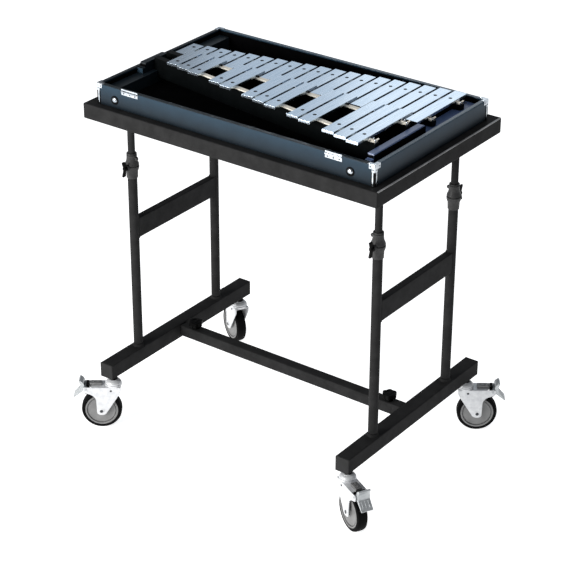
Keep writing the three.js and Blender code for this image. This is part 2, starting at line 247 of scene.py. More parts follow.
dark_steel = surface("dark_steel", (0.035, 0.037, 0.04), (0.07, 0.073, 0.08), (0.30, 0.45), 0.9,
                     grain=900, grain_depth=0.00002)
cap_plastic = surface("cap_plastic", (0.009, 0.009, 0.009), (0.015, 0.015, 0.0153), (0.45, 0.60),
                      grain=1400, grain_depth=0.00006, specular=0.2)
arm_steel = surface("arm_steel", (0.18, 0.18, 0.18), (0.28, 0.28, 0.28), (0.35, 0.50), 0.6,
                    blotch=120, grain=900, grain_depth=0.00004)
# Lit copy of the case's blue paint: painted light on the rim's right and rear strips and on the end
# blocks' front lips.
lit_rim_paint = surface("lit_rim_paint", (0.030, 0.060, 0.090), (0.045, 0.085, 0.125), (0.22, 0.32),
                    blotch=25, grain=800, grain_depth=0.00003)
rail_paint = surface("rail_paint", (0.0015, 0.0020, 0.0022), (0.003, 0.004, 0.0044), (0.35, 0.50),
                     blotch=25, grain=900, grain_depth=0.00003, specular=0.06)
# Shaded copy of the case's blue paint: painted shade on the rim's front and left strips and on the left
# end board.
shaded_paint = surface("shaded_paint", (0.007, 0.012, 0.016), (0.012, 0.019, 0.025), (0.30, 0.44),
                     blotch=25, grain=900, grain_depth=0.00003, specular=0.2)
BACKDROP_GLOW = 0.80
floor_paint = surface("floor_paint", (0.93, 0.93, 0.93), (0.96, 0.96, 0.96), (0.8, 0.9),
                      blotch=2, grain=200, grain_depth=0.0001)
floor_shader = floor_paint.node_tree.nodes["Principled BSDF"]
floor_shader.inputs["Emission Color"].default_value = (1, 1, 1, 1)
floor_shader.inputs["Emission Strength"].default_value = BACKDROP_GLOW


# ---------------------------------------------------------------- mesh helpers
SMOOTH_ANGLE = 38


def box_mm(node):
    low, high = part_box(node)
    return low / MM, high / MM


def add_box(bm, low, high):
    low, high = Vector(low), Vector(high)
    made = bmesh.ops.create_cube(bm, size=1)["verts"]
    bmesh.ops.scale(bm, vec=high - low, verts=made)
    bmesh.ops.translate(bm, vec=(low + high) / 2, verts=made)


def add_rod(bm, start, end, radius, segments=32):
    start, end = Vector(start), Vector(end)
    along = end - start
    made = bmesh.ops.create_cone(
        bm, cap_ends=True, segments=segments, radius1=radius, radius2=radius,
        depth=along.length)["verts"]
    turn = along.to_track_quat("Z", "Y").to_matrix().to_4x4()
    bmesh.ops.transform(bm, matrix=Matrix.Translation((start + end) / 2) @ turn, verts=made)


def add_lathe(bm, profile, matrix=Matrix.Identity(4), segments=48):
    """A closed profile of (radius, height) points turned about Z. Points on the axis become poles."""
    rings = []
    for radius, height in profile:
        if radius < 1e-7:
            rings.append([bm.verts.new(matrix @ Vector((0, 0, height)))])
            continue
        ring = []
        for step in range(segments):
            angle = 2 * math.pi * step / segments
            spot = Vector((radius * math.cos(angle), radius * math.sin(angle), height))
            ring.append(bm.verts.new(matrix @ spot))
        rings.append(ring)
    open_ended = len(rings[0]) == 1 and len(rings[-1]) == 1
    pairs = list(zip(rings, rings[1:] if open_ended else rings[1:] + rings[:1]))
    for lower, upper in pairs:
        for step in range(segments):
            following = (step + 1) % segments
            corners = [lower[step % len(lower)], lower[following % len(lower)],
                       upper[following % len(upper)], upper[step % len(upper)]]
            unique = list(dict.fromkeys(corners))
            if len(unique) > 2:
                bm.faces.new(unique)


def add_prism(bm, outline, depth, matrix=Matrix.Identity(4)):
    """An outline of (x, z) points, made depth thick about y = 0, then placed by matrix."""
    front = [bm.verts.new(matrix @ Vector((x, -depth / 2, z))) for x, z in outline]
    back = [bm.verts.new(matrix @ Vector((x, depth / 2, z))) for x, z in outline]
    bm.faces.new(front)
    bm.faces.new(list(reversed(back)))
    count = len(outline)
    for step in range(count):
        following = (step + 1) % count
        bm.faces.new([front[following], front[step], back[step], back[following]])


def arc(centre, radius, start, end, steps):
    """Points on an arc from start to end degrees."""
    points = []
    for step in range(steps + 1):
        angle = math.radians(start + (end - start) * step / steps)
        points.append((centre[0] + radius * math.cos(angle), centre[1] + radius * math.sin(angle)))
    return points


def round_corners(points, steps=4):
    """A closed outline whose corners, given as (x, z, radius), are rounded off."""
    outline = []
    for index, (x, z, radius) in enumerate(points):
        corner = Vector((x, z))
        before = Vector(points[index - 1][:2]) - corner
        after = Vector(points[(index + 1) % len(points)][:2]) - corner
        reach = min(radius, 0.45 * before.length, 0.45 * after.length)
        start = corner + before.normalized() * reach
        end = corner + after.normalized() * reach
        for step in range(steps + 1):
            share = step / steps
            spot = start * (1 - share) ** 2 + corner * 2 * share * (1 - share) + end * share ** 2
            outline.append((spot.x, spot.y))
    return outline


def add_tube(bm, path, radius, segments=12, matrix=Matrix.Identity(4)):
    """A round rod with closed ends that follows the points of path."""
    points = [matrix @ Vector(point) for point in path]
    rings = []
    side = None
    for index, point in enumerate(points):
        along = (points[min(index + 1, len(points) - 1)] - points[max(index - 1, 0)]).normalized()
        side = along.orthogonal() if side is None else side - along * side.dot(along)
        side.normalize()
        other = along.cross(side)
        ring = []
        for step in range(segments):
            angle = 2 * math.pi * step / segments
            reach = math.cos(angle) * side + math.sin(angle) * other
            ring.append(bm.verts.new(point + radius * reach))
        rings.append(ring)
    for lower, upper in zip(rings, rings[1:]):
        for step in range(segments):
            following = (step + 1) % segments
            bm.faces.new([lower[step], lower[following], upper[following], upper[step]])
    bm.faces.new(list(reversed(rings[0])))
    bm.faces.new(rings[-1])


def pour(part, target, matrix=Matrix.Identity(4)):
    """Adds the bmesh part, placed by matrix, to target."""
    bmesh.ops.transform(part, matrix=matrix, verts=part.verts)
    mesh = bpy.data.meshes.new("scratch")
    part.to_mesh(mesh)
    part.free()
    target.from_mesh(mesh)
    bpy.data.meshes.remove(mesh)


def add_soft_box(bm, low, high, width, segments=3, matrix=Matrix.Identity(4)):
    """A box with rounded edges."""
    part = bmesh.new()
    add_box(part, low, high)
    bevel_sharp(part, width, segments)
    pour(part, bm, matrix)


def bevel_sharp(bm, width, segments=2, limit=30):
    edges = [edge for edge in bm.edges
             if len(edge.link_faces) == 2 and edge.calc_face_angle(0) > math.radians(limit)]
    bmesh.ops.bevel(bm, geom=edges, offset=width, segments=segments, profile=0.5,
                    affect="EDGES", clamp_overlap=True)


def mesh_piece(name, bm, material, body, replaces=()):
    """Turns bm into a finished piece that rides on body and stands for the replaced CAD nodes."""
    bmesh.ops.recalc_face_normals(bm, faces=bm.faces)
    bmesh.ops.scale(bm, vec=(MM, MM, MM), verts=bm.verts)
    mesh = bpy.data.meshes.new(name)
    bm.to_mesh(mesh)
    bm.free()
    for polygon in mesh.polygons:
        polygon.use_smooth = True
    mesh.set_sharp_from_angle(angle=math.radians(SMOOTH_ANGLE))
    mesh.materials.append(material)
    piece = bpy.data.objects.new(name, mesh)
    bpy.context.scene.collection.objects.link(piece)
    weighted = piece.modifiers.new("weighted_normals", "WEIGHTED_NORMAL")
    weighted.keep_sharp = True
    if body:
        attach(piece, body)
    if replaces:
        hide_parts(*replaces)
    return piece


def cut(bm, cutter):
    """Subtracts the closed mesh cutter from bm and returns the result as a new bmesh."""
    objects = []
    for part in (bm, cutter):
        bmesh.ops.recalc_face_normals(part, faces=part.faces)
        mesh = bpy.data.meshes.new("scratch")
        part.to_mesh(mesh)
        part.free()
        made = bpy.data.objects.new("scratch", mesh)
        bpy.context.scene.collection.objects.link(made)
        objects.append(made)
    boolean = objects[0].modifiers.new("cut", "BOOLEAN")
    boolean.operation = "DIFFERENCE"
    boolean.solver = "EXACT"
    boolean.object = objects[1]
    bpy.context.view_layer.update()
    evaluated = objects[0].evaluated_get(bpy.context.evaluated_depsgraph_get())
    result = bmesh.new()
    result.from_mesh(evaluated.to_mesh())
    for made in objects:
        bpy.data.meshes.remove(made.data)
    return result


# ---------------------------------------------------------------- tone bars, their screws and guide pins
BAR_NODES = [node for node in NODES if node.startswith("bar_") and node != "bar_frame"]
NODE_FRACTION = 0.224


def bar_spot(node, outer):
    """The middle of a bar's top above its outer or its inner rail."""
    low, high = box_mm(node)
    from_low = NODE_FRACTION if ("sharp" in node) == outer else 1 - NODE_FRACTION
    return Vector(((low.x + high.x) / 2, low.y + from_low * (high.y - low.y), high.z))


def make_bars():
    for node in BAR_NODES:
        low, high = box_mm(node)
        steel = bmesh.new()
        add_box(steel, low, high)
        bevel_sharp(steel, 0.5, 2)
        hole = bmesh.new()
        spot = bar_spot(node, True)
        add_rod(hole, spot - Vector((0, 0, 12)), spot + Vector((0, 0, 12)), 4.5, 28)
        mesh_piece(node + "_steel", cut(steel, hole), bar_steel, "instrument", [node])


def make_bar_fittings():
    screws = bmesh.new()
    grommets = bmesh.new()
    pins = bmesh.new()
    sleeves = bmesh.new()
    for node in BAR_NODES:
        place = Matrix.Translation(bar_spot(node, True))
        add_lathe(grommets, [(2.0, -7), (4.4, -7), (4.4, -0.5), (3.9, -0.1), (2.0, -0.4)], place, 24)
        add_lathe(screws, [(0, -12), (1.6, -12), (1.6, -0.9), (2.5, -0.8), (2.4, -0.3), (1.6, -0.1),
                           (0.9, -0.1), (0.7, -0.7), (0, -0.7)], place, 24)
    taken = set()
    for node in BAR_NODES:
        spot = bar_spot(node, False)
        slope = 0.1 if "sharp" in node else -0.1
        for side in (-1, 1):
            x = spot.x + side * 19.05
            if (round(x), round(spot.z)) in taken:
                continue
            taken.add((round(x), round(spot.z)))
            place = Matrix.Translation((x, spot.y + slope * side * 2, spot.z))
            add_lathe(pins, [(0, -14), (1.1, -14), (1.1, -1.4), (0.7, -0.6), (0, -0.5)], place, 14)
            add_lathe(sleeves, [(1.2, -8.5), (2.3, -8.5), (2.3, -2.4), (2.0, -2.0), (1.2, -2.0)],
                      place, 14)
    mesh_piece("bar_screws", screws, dark_steel, "instrument")
    mesh_piece("bar_grommets", grommets, black_plastic, "instrument")
    mesh_piece("guide_pins", pins, chrome, "instrument")
    mesh_piece("guide_pin_sleeves", sleeves, black_plastic, "instrument")


make_bars()
make_bar_fittings()


# ---------------------------------------------------------------- rails, felt and end boards
def bar_line(kind, outer):
    """A straight line y(x) through the outer or inner nodes of the naturals or the sharps."""
    row = sorted((n for n in BAR_NODES if ("sharp" in n) == (kind == "sharp")),
                 key=lambda n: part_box(n)[0].x)
    first, last = bar_spot(row[0], outer), bar_spot(row[-1], outer)
    slope = (last.y - first.y) / (last.x - first.x)
    return lambda x: first.y + slope * (x - first.x)


def add_slab(bm, line, left, right, width, bottom, top):
    corners = [(left, line(left) - width / 2), (right, line(right) - width / 2),
               (right, line(right) + width / 2), (left, line(left) + width / 2)]
    part = bmesh.new()
    lower = [part.verts.new((x, y, bottom)) for x, y in corners]
    upper = [part.verts.new((x, y, top)) for x, y in corners]
    part.faces.new(list(reversed(lower)))
    part.faces.new(upper)
    for step in range(4):
        following = (step + 1) % 4
        part.faces.new([lower[step], lower[following], upper[following], upper[step]])
    bevel_sharp(part, 0.9, 2)
    pour(part, bm)


def make_bar_frame():
    rails = bmesh.new()
    strips = bmesh.new()
    ends = bmesh.new()
    hooks = bmesh.new()
    for kind, top, reach in (("natural", NATURAL_RAIL_TOP, 374), ("sharp", SHARP_RAIL_TOP, 362)):
        for outer in (False, True):
            line = bar_line(kind, outer)
            add_slab(rails, line, -reach, reach, 16, RAIL_BOTTOM, top - 3)
            first_bar = -358 if kind == "natural" else -301
            add_slab(strips, line, first_bar, END_BOARD_INNER, 12, top - 3, top)
            x = reach - 8
            y = line(x)
            add_soft_box(ends, (x - 5, y - 5.5, top - 3), (x + 5, y + 5.5, top + 1.0), 1.4)
            add_tube(ends, [(x - 9, y - 6, top + 4.5), (x - 4, y - 2.5, top + 2.2), (x, y, top + 0.8),
                            (x + 4, y + 2.5, top + 2.2), (x + 7, y + 7, top + 4.6)], 1.9)
            for offset in (-5, 6):
                pin = Matrix.Translation((x + offset, y - offset * 0.8, top - 1))
                add_lathe(hooks, [(0, -4), (1.2, -4), (1.2, 4.5), (2.6, 4.8), (2.2, 6.0), (1.1, 6.6),
                                  (0, 6.7)], pin, 20)
    mesh_piece("bar_rails", rails, rail_paint, "instrument", ["bar_frame"])
    mesh_piece("rail_felt", strips, felt, "instrument")
    mesh_piece("rail_end_felt", ends, felt, "instrument")
    mesh_piece("rail_end_hooks", hooks, chrome, "instrument")
    low, high = box_mm("case_tub")
    # The left end board takes the shaded copy of the blue paint, the right one the blue paint itself:
    # painted shade on the left.
    for side, wall, front, paint, name in (
            (-1, low.x + CASE_WALL + 0.3, -98, shaded_paint, "left"),
            (1, high.x - CASE_WALL - 0.3, -216, blue_paint, "right")):
        board = bmesh.new()
        inner = side * END_BOARD_INNER
        add_soft_box(board, (min(inner, wall), low.y + CASE_WALL + 0.3, low.z + CASE_FLOOR + 0.3),
                     (max(inner, wall), high.y - CASE_WALL - 4, END_BOARD_TOP), 1.2)
        outline = [(front - 10, END_BOARD_TOP - 10), (front - 10, BLOCK_TOP - 12)]
        outline += arc((front - 4, BLOCK_TOP - 16), 4, 90, 60, 2)
        outline += [(front, BLOCK_TOP - 10), (front + 1, BLOCK_TOP - 1.5), (front + 2.5, BLOCK_TOP)]
        outline += arc((-17, BLOCK_TOP - 12), 12, 90, 0, 8)
        outline += [(-5, END_BOARD_TOP - 10)]
        inner_edge = side * BLOCK_INNER
        outer_edge = side * BLOCK_OUTER
        width = abs(outer_edge - inner_edge)
        middle = (outer_edge + inner_edge) / 2
        place = Matrix.Translation((middle, 0, 0)) @ Matrix.Rotation(math.pi / 2, 4, "Z")
        part = bmesh.new()
        add_prism(part, outline, width)
        bmesh.ops.recalc_face_normals(part, faces=part.faces)
        bevel_sharp(part, 1.0, 2, 50)
        pour(part, board, place)
        mesh_piece(f"end_board_{name}", board, paint, "instrument")
        # Black sheets over the block's outer side, its front and the gap to the case wall: painted shadow.
        shadow_filler = bmesh.new()
        add_soft_box(shadow_filler, (min(outer_edge, wall), front - 8, END_BOARD_TOP - 2),
                     (max(outer_edge, wall), -6, END_BOARD_TOP + 6), 1.0)
        side_low, side_high = sorted((outer_edge - side * 1.2, outer_edge + side * 0.6))
        add_soft_box(shadow_filler, (side_low, front + 1, END_BOARD_TOP - 2),
                     (side_high, -7, BLOCK_TOP - 3.5), 0.5)
        block_low, block_high = sorted((side * (BLOCK_INNER + 0.4), side * (BLOCK_OUTER - 0.4)))
        add_soft_box(shadow_filler, (block_low, front - 0.8, BLOCK_TOP - 11.5),
                     (block_high, front + 2, BLOCK_TOP - 4), 0.4)
        mesh_piece(f"end_board_{name}_painted_shadow", shadow_filler, black_lining, "instrument")
        # The lip is a strip of the lit rim paint: a painted highlight.
        lip = bmesh.new()
        add_soft_box(lip, (block_low, front - 10.6, END_BOARD_TOP + 1),
                     (block_high, front - 9, BLOCK_TOP - 12.6), 0.5)
        mesh_piece(f"end_board_{name}_lip", lip, lit_rim_paint, "instrument")
    screws = bmesh.new()
    for side in (-1, 1):
        for y in (-222, -120, 60, 205):
            spot = Matrix.Translation((side * 358.5, y, END_BOARD_TOP))
            add_lathe(screws, [(0, -3), (3.0, -3), (3.4, 0.1), (2.6, 0.9), (1.2, 1.2), (0, 1.25)],
                      spot, 20)
    mesh_piece("end_board_screws", screws, dark_steel, "instrument")


make_bar_frame()


# ---------------------------------------------------------------- case
def facing(spot, direction):
    """A matrix that carries +Z onto direction at spot."""
    turn = Vector(direction).to_track_quat("Z", "Y").to_matrix().to_4x4()
    return Matrix.Translation(spot) @ turn


def add_rivet(bm, spot, direction, radius):
    add_lathe(bm, [(0, -1), (radius, -1), (radius, 0.1), (radius * 0.8, radius * 0.3),
                   (radius * 0.4, radius * 0.45), (0, radius * 0.5)], facing(spot, direction), 18)


def make_case():
    low, high = box_mm("case_tub")
    shell = bmesh.new()
    add_box(shell, low, high - Vector((0, 0, 1.2)))
    bevel_sharp(shell, 2.2, 4)
    well = bmesh.new()
    inner_low = low + Vector((CASE_WALL, CASE_WALL, CASE_FLOOR))
    inner_high = Vector((high.x - CASE_WALL, high.y - CASE_WALL, high.z + 20))
    add_box(well, inner_low, inner_high)
    mesh_piece("case_shell", cut(shell, well), case_vinyl, "instrument", ["case_tub"])

    lining = bmesh.new()
    add_box(lining, inner_low, (inner_high.x, inner_high.y, high.z - 4))
    hollow = bmesh.new()
    add_box(hollow, inner_low + Vector((LINING, LINING, LINING)), inner_high - Vector((LINING, LINING, 0)))
    mesh_piece("case_lining", cut(lining, hollow), black_lining, "instrument")

    # The rim's front and left strips take the shaded copy and its right and rear strips the lit copy:
    # painted shade and painted light.
    edge_low = Vector((low.x + 0.4, low.y + 0.4, high.z - 1.8))
    edge_high = Vector((high.x - 0.4, high.y - 0.4, high.z))
    shaded_rim_strips = bmesh.new()
    add_soft_box(shaded_rim_strips, edge_low, (edge_high.x, low.y + CASE_WALL + 0.4, edge_high.z), 0.8)
    add_soft_box(shaded_rim_strips, edge_low, (low.x + CASE_WALL + 0.4, edge_high.y, edge_high.z), 0.8)
    mesh_piece("case_rim_front_left", shaded_rim_strips, shaded_paint, "instrument")
    lit_rim_strips = bmesh.new()
    add_soft_box(lit_rim_strips, (high.x - CASE_WALL - 0.4, low.y + 10.8, edge_low.z), edge_high, 0.8)
    add_soft_box(lit_rim_strips, (low.x + 10.8, high.y - CASE_WALL - 0.4, edge_low.z), edge_high, 0.8)
    mesh_piece("case_rim_right_rear", lit_rim_strips, lit_rim_paint, "instrument")


def make_case_corners():
    """Plated corner strips with a cap at the top, over a black edge binding."""
    low, high = box_mm("case_tub")
    plates = bmesh.new()
    binding = bmesh.new()
    rivets = bmesh.new()
    for x, inward_x in ((low.x, 1), (high.x, -1)):
        for y, inward_y in ((low.y, 1), (high.y, -1)):
            for axis in (0, 1):
                along = Vector((inward_x, 0, 0)) if axis == 0 else Vector((0, inward_y, 0))
                out = Vector((0, -inward_y, 0)) if axis == 0 else Vector((-inward_x, 0, 0))
                corner = Vector((x, y, 0))

                def plate(bm, near, far, bottom, top, depth):
                    ends = (corner + along * near - out * 0.4 + Vector((0, 0, bottom)),
                            corner + along * far + out * depth + Vector((0, 0, top)))
                    lowest = [min(ends[0][i], ends[1][i]) for i in range(3)]
                    highest = [max(ends[0][i], ends[1][i]) for i in range(3)]
                    add_soft_box(bm, lowest, highest, 0.35, 2)

                reach = 20 if axis else 16
                plate(plates, 0.5, reach, high.z - 11, high.z + 0.5, 1.2)
                plate(plates, 0.4, 8.5, high.z - 18, high.z - 10, 1.1)
                plate(plates, 4.0, 7.4, low.z + 1, high.z - 17, 1.0)
                plate(binding, 0.2, 10, low.z + 0.5, high.z - 16, 0.5)
                spot = corner + along * (reach - 4) + out * 1.1 + Vector((0, 0, high.z - 5.5))
                add_rivet(rivets, spot, out, 1.6)
                spot = corner + along * 4.5 + out * 1.1 + Vector((0, 0, high.z - 12))
                add_rivet(rivets, spot, out, 1.6)
            cap = sorted((x, x + inward_x * 19)), sorted((y, y + inward_y * 19))
            add_soft_box(plates, (cap[0][0], min(y, y + inward_y * 8), high.z - 0.2),
                         (cap[0][1], max(y, y + inward_y * 8), high.z + 0.8), 0.3, 2)
            add_soft_box(plates, (min(x, x + inward_x * 8), cap[1][0], high.z - 0.2),
                         (max(x, x + inward_x * 8), cap[1][1], high.z + 0.7), 0.3, 2)
    mesh_piece("case_corner_plates", plates, chrome, "instrument")
    mesh_piece("case_corner_rivets", rivets, dark_steel, "instrument")
    mesh_piece("case_corner_binding", binding, black_plastic, "instrument")


def make_case_hardware():
    low, high = box_mm("case_tub")
    front = low.y
    plates = bmesh.new()
    studs = bmesh.new()
    rings = bmesh.new()
    rivets = bmesh.new()
    for left, right, bottom, top in ((-318, -268, 924, 939.5), (272, 318, 921, 938)):
        add_soft_box(plates, (left, front - 1.3, bottom), (right, front + 0.4, top - 6.5), 0.5)
        add_soft_box(plates, (left + 2, front - 2.6, top - 8), (right - 2, front + 1.5, top - 4.5), 0.9)
        add_soft_box(plates, (left, front - 1.6, top - 6), (right, front - 0.3, top), 0.5)
        add_rod(plates, (left + 1, front - 2.6, top - 6.2), (right - 1, front - 2.6, top - 6.2), 1.7, 20)
        for share in (0.16, 0.5, 0.84):
            spot = Vector((left + share * (right - left), front - 1.2, bottom + 4.5))
            add_rivet(rivets, spot, (0, -1, 0), 2.0)
    for x in (-340, 340):
        place = facing((x, front, 904), (0, -1, 0))
        add_lathe(rings, [(6.8, -1), (10.8, -1), (11.2, 0.4), (10.8, 1.4), (8.8, 1.8), (6.8, 1.4)],
                  place, 40)
        add_lathe(studs, [(0, -1), (7.2, -1), (7.6, 1.6), (6.8, 3.0), (4.0, 4.2), (0, 4.6)], place, 40)
    back = high.y
    for x in (-250, 250):
        add_soft_box(plates, (x - 17, back - 0.4, 898), (x + 17, back + 1.4, 930), 0.6)
        add_soft_box(plates, (x - 11, back + 1, 903), (x + 11, back + 5.5, 922), 1.6)
        add_rod(plates, (x - 14, back + 3.2, 924), (x + 14, back + 3.2, 924), 2.2, 20)
        for side in (-1, 1):
            add_tube(plates, [(x + side * 8, back + 3.5, 906), (x + side * 8, back + 4.4, 918),
                              (x + side * 6, back + 4.2, 929), (x, back + 3.8, 931)], 1.1)
            for z in (901, 927):
                add_rivet(plates, Vector((x + side * 14, back + 1.4, z)), (0, 1, 0), 1.8)
    grip = bmesh.new()
    add_tube(grip, [(-46, back + 7, 915), (-44, back + 9.5, 907), (-34, back + 10.5, 900),
                    (0, back + 11, 898), (34, back + 10.5, 900), (44, back + 9.5, 907),
                    (46, back + 7, 915)], 4.6, 20)
    for side in (-1, 1):
        add_soft_box(plates, (side * 52 - 13, back - 0.4, 906), (side * 52 + 13, back + 1.4, 924), 0.6)
        add_rod(plates, (side * 52 - 8, back + 5, 915), (side * 52 + 8, back + 5, 915), 3.4, 24)
        for spread in (-10, 10):
            add_rivet(plates, Vector((side * 52 + spread, back + 1.4, 919)), (0, 1, 0), 1.8)
    mesh_piece("case_catches", plates, chrome, "instrument")
    mesh_piece("case_studs", studs, chrome, "instrument")
    mesh_piece("case_stud_rings", rings, black_plastic, "instrument")
    mesh_piece("case_catch_rivets", rivets, dark_steel, "instrument")
    mesh_piece("case_handle", grip, black_plastic, "instrument")


make_case()
make_case_corners()
make_case_hardware()


# ---------------------------------------------------------------- table frame and posts
def make_table():
    low, high = box_mm("table_frame")
    plate = bmesh.new()
    add_box(plate, (low.x, low.y, TABLE_BOTTOM), high)
    bevel_sharp(plate, 2.6, 4)
    inside = bmesh.new()
    add_box(inside, (low.x + TABLE_WALL, low.y + TABLE_WALL, TABLE_BOTTOM - 5),
            (high.x - TABLE_WALL, high.y - TABLE_WALL, high.z - TABLE_WALL))
    plate = cut(plate, inside)
    opening = bmesh.new()
    add_box(opening, (-343, low.y + 36, TABLE_BOTTOM - 9), (343, high.y - 36, high.z + 9))
    frame_mesh = cut(plate, opening)
    for side in (-1, 1):
        add_soft_box(frame_mesh, (side * POST_X - 20, low.y + 2.5, high.z - 9),
                     (side * POST_X + 20, high.y - 2.5, high.z - 2.8), 1.2)
        for end in (-1, 1):
            spot = Matrix.Translation((side * POST_X, end * POST_Y, 0))
            add_lathe(frame_mesh, [(7, 426), (9, 427), (9, 866), (10, 870), (13.5, 873), (14, 875),
                                   (7, 875)], spot, 40)
    mesh_piece("table_rim", frame_mesh, powder_coat, "table", ["table_frame"])
    # A lighter strip along the right rail's outer top edge: a painted highlight on the rounded edge.
    edge = bmesh.new()
    add_soft_box(edge, (high.x - 4.2, low.y + 3, high.z - 2.4),
                 (high.x + 0.15, high.y - 3, high.z + 0.15), 1.1)
    mesh_piece("table_painted_edge_highlight", edge, edge_highlight_coat, "table")
    plugs = bmesh.new()
    bolts = bmesh.new()
    for side in (-1, 1):
        for end in (-1, 1):
            spot = Matrix.Translation((side * POST_X, end * POST_Y, 0))
            add_lathe(plugs, [(0, 426.2), (5, 426.2), (7.2, 427.5), (7.2, 446), (0, 446)], spot, 28)
            for offset in (-60, 60):
                add_rod(bolts, (side * POST_X, end * POST_Y + offset, 868),
                        (side * POST_X, end * POST_Y + offset, 874), 6.5, 6)
    mesh_piece("post_plugs", plugs, black_plastic, "table")
    mesh_piece("cross_member_bolts", bolts, dark_steel, "table")


make_table()


# ---------------------------------------------------------------- side frames and stretcher
def make_side_frame(name, side):
    steel = bmesh.new()
    x = side * POST_X
    add_soft_box(steel, (x - FOOT_HALF_WIDTH, -287, FOOT_BOTTOM),
                 (x + FOOT_HALF_WIDTH, 287, FOOT_TOP), 2.6, 4)
    add_soft_box(steel, (x - 10, -158, CROSSBAR_BOTTOM), (x + 10, 158, CROSSBAR_BOTTOM + 54), 2.4, 4)
    for y in (-POST_Y, POST_Y):
        spot = Matrix.Translation((x, y, 0))
        add_lathe(steel, [(9.9, 200), (12, 200), (12, TUBE_TOP - 0.8), (11.4, TUBE_TOP),
                          (9.9, TUBE_TOP)], spot, 48)
        add_lathe(steel, [(8, FOOT_TOP - 1), (15.5, FOOT_TOP - 0.5), (14.6, FOOT_TOP + 1.8),
                          (12.9, FOOT_TOP + 4.2), (11.9, FOOT_TOP + 6), (8, FOOT_TOP + 6)], spot, 48)
        inward = -1 if y > 0 else 1
        for height in (CROSSBAR_BOTTOM, CROSSBAR_BOTTOM + 54):
            add_tube(steel, [(x - 9.5, y + inward * 8.5, height), (x, y + inward * 12.4, height),
                             (x + 9.5, y + inward * 8.5, height)], 1.7, 12)
        for edge in (-1, 1):
            add_tube(steel, [(x + edge * 10, y + inward * 7.6, CROSSBAR_BOTTOM + 1),
                             (x + edge * 10, y + inward * 7.6, CROSSBAR_BOTTOM + 53)], 1.5, 12)
    spigot_ends = (POST_X - FOOT_HALF_WIDTH + 1, POST_X - FOOT_HALF_WIDTH - SPIGOT_REACH)
    spigot_start, spigot_end = sorted(side * end for end in spigot_ends)
    add_soft_box(steel, (spigot_start, -12.5, 161.5), (spigot_end, 12.5, 186.5), 1.5)
    mesh_piece(f"{name}_welded", steel, powder_coat, "base", [name])
    caps = bmesh.new()
    for end in (-1, 1):
        span = sorted((end * 286.4, end * 290))
        add_soft_box(caps, (x - FOOT_HALF_WIDTH, span[0], FOOT_BOTTOM),
                     (x + FOOT_HALF_WIDTH, span[1], FOOT_TOP), 1.4, 3)
        span = sorted((end * 280, end * 288))
        add_soft_box(caps, (x - 16, span[0], FOOT_BOTTOM + 3), (x + 16, span[1], FOOT_TOP - 3), 1, 2)
    mesh_piece(f"{name}_end_caps", caps, cap_plastic, "base")


def make_stretcher():
    low, high = box_mm("stretcher_bar")
    tube = bmesh.new()
    add_soft_box(tube, low, high, 2.6, 4)
    for side in (-1, 1):
        for x in (320, 342):
            add_tube(tube, [(side * x, -13.5, low.z + 0.9), (side * x, -15, low.z + 2.5),
                            (side * x, -15, high.z - 2.5), (side * x, -13, high.z - 0.6),
                            (side * x, 13, high.z - 0.6), (side * x, 15, high.z - 2.5),
                            (side * x, 15, low.z + 2.5)], 0.7, 8)
    mesh_piece("stretcher_tube", tube, powder_coat, "base", ["stretcher_bar"])
    washers = bmesh.new()
    for side in (-1, 1):
        add_lathe(washers, [(4.2, high.z - 0.6), (11.5, high.z - 0.6), (11.5, high.z + 0.1),
                            (11.0, high.z + 0.25), (4.2, high.z + 0.25)],
                  Matrix.Translation((side * KNOB_X, 0, 0)), 32)
    mesh_piece("stretcher_washers", washers, dark_steel, "base")


def make_stretcher_knob(side_name, side):
    top = box_mm("stretcher_bar")[1].z
    knob = bmesh.new()
    rings = []
    levels = [(0.001, 0.3, 0), (10.2, 0.3, 0), (11, 1, 0), (11, 7.0, 0), (12.5, 8.8, 0.3),
              (16.8, 9.2, 1.2), (17.8, 10.6, 1.6), (17.8, 18.0, 1.6), (17.0, 20.2, 1.4), (15.2, 21.0, 1),
              (11.0, 21.0, 0.2), (10.0, 19.4, 0), (6.2, 19.0, 0), (5.6, 20.2, 0), (0.001, 20.5, 0)]
    for radius, height, lobe in levels:
        ring = []
        for step in range(72):
            angle = 2 * math.pi * step / 72
            reach = radius + lobe * math.cos(6 * angle)
            ring.append(knob.verts.new(
                (side * KNOB_X + reach * math.cos(angle), reach * math.sin(angle), top + height)))
        rings.append(ring)
    for lower, upper in zip(rings, rings[1:]):
        for step in range(72):
            following = (step + 1) % 72
            knob.faces.new([lower[step], lower[following], upper[following], upper[step]])
    knob.faces.new(rings[-1])
    knob.faces.new(list(reversed(rings[0])))
    name = f"stretcher_knob_{side_name}"
    mesh_piece(f"{name}_head", knob, black_plastic, name, [name])


for side_name, side in (("left", -1), ("right", 1)):
    make_side_frame(f"side_frame_{side_name}", side)
    make_stretcher_knob(side_name, side)
make_stretcher()


